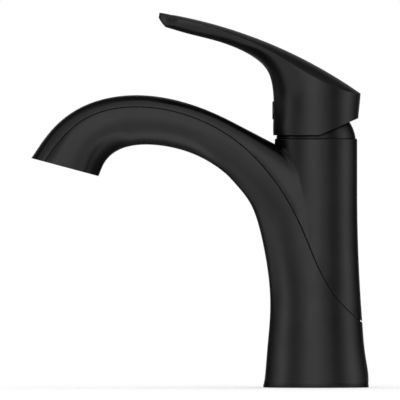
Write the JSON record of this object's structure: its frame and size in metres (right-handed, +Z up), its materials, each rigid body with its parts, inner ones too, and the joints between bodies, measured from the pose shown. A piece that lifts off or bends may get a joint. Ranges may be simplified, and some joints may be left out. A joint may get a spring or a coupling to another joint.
{
  "type": "basin mixer faucet",
  "caption": "Lever-handle basin mixer faucet: arched spout in shells split along a seam, flared round foot, dome cap, and a lever that swivels for heat and lifts for flow.",
  "frame": {"origin": "centre of the foot on the deck", "axes": "+Z up the column, the spout and the lever point to -X, +Y is the hot side"},
  "size_m": [0.1586, 0.0496, 0.1761],
  "materials": {
    "coated_body": "satin",
    "brass": "satin",
    "copper_tube": "satin",
    "seal": "matte",
    "ceramic": "polished",
    "dark_plastic": "satin",
    "pale_plastic": "satin",
    "steel": "satin",
    "button": "satin"
  },
  "bodies": {
    "tap_body": {"front_body_shell": "coated_body", "rear_body_shell": "coated_body", "base_ring": "coated_body", "dome_cap": "coated_body", "foot_block": "brass", "valve_body": "brass", "cartridge_nut": "brass", "hot_riser_tube": "copper_tube", "cold_riser_tube": "copper_tube", "spout_tube": "copper_tube", "base_gasket": "seal", "riser_o_rings": "seal", "spout_tube_o_rings": "seal", "aerator_washer": "seal", "cartridge_base_seals": "seal", "fixed_ceramic_disc": "ceramic", "outlet_insert": "dark_plastic", "aerator_housing": "dark_plastic", "aerator_flow_regulator": "pale_plastic", "cartridge_housing": "pale_plastic", "cartridge_base": "pale_plastic", "temperature_stop_ring": "pale_plastic", "foot_screws": "steel", "aerator_screen": "steel"},
    "rotor": {"lever_guide": "pale_plastic", "lever_pin": "steel"},
    "valve_disc": {"disc_carrier": "pale_plastic", "moving_ceramic_disc": "ceramic"},
    "lever": {"handle": "coated_body", "spindle": "brass", "handle_set_screw": "steel", "index_button": "button"}
  },
  "joints": [
    {"name": "handle_swivel", "type": "hinge", "parent": "tap_body", "child": "rotor", "pos_m": [0, 0, 0.1144], "axis": [0, 0, 1], "range_deg": [-50, 50]},
    {"name": "handle_lift", "type": "hinge", "parent": "rotor", "child": "lever", "pos_m": [0, 0, 0.1144], "axis": [0, 1, 0], "range_deg": [0, 23]},
    {"name": "disc_slide", "type": "slide", "parent": "rotor", "child": "valve_disc", "axis": [-1, 0, 0], "range_m": [0, 0.0038]}
  ],
  "couplings": [
    {"joint": "disc_slide", "follows": "handle_lift", "m_per_rad": 0.00915}
  ]
}
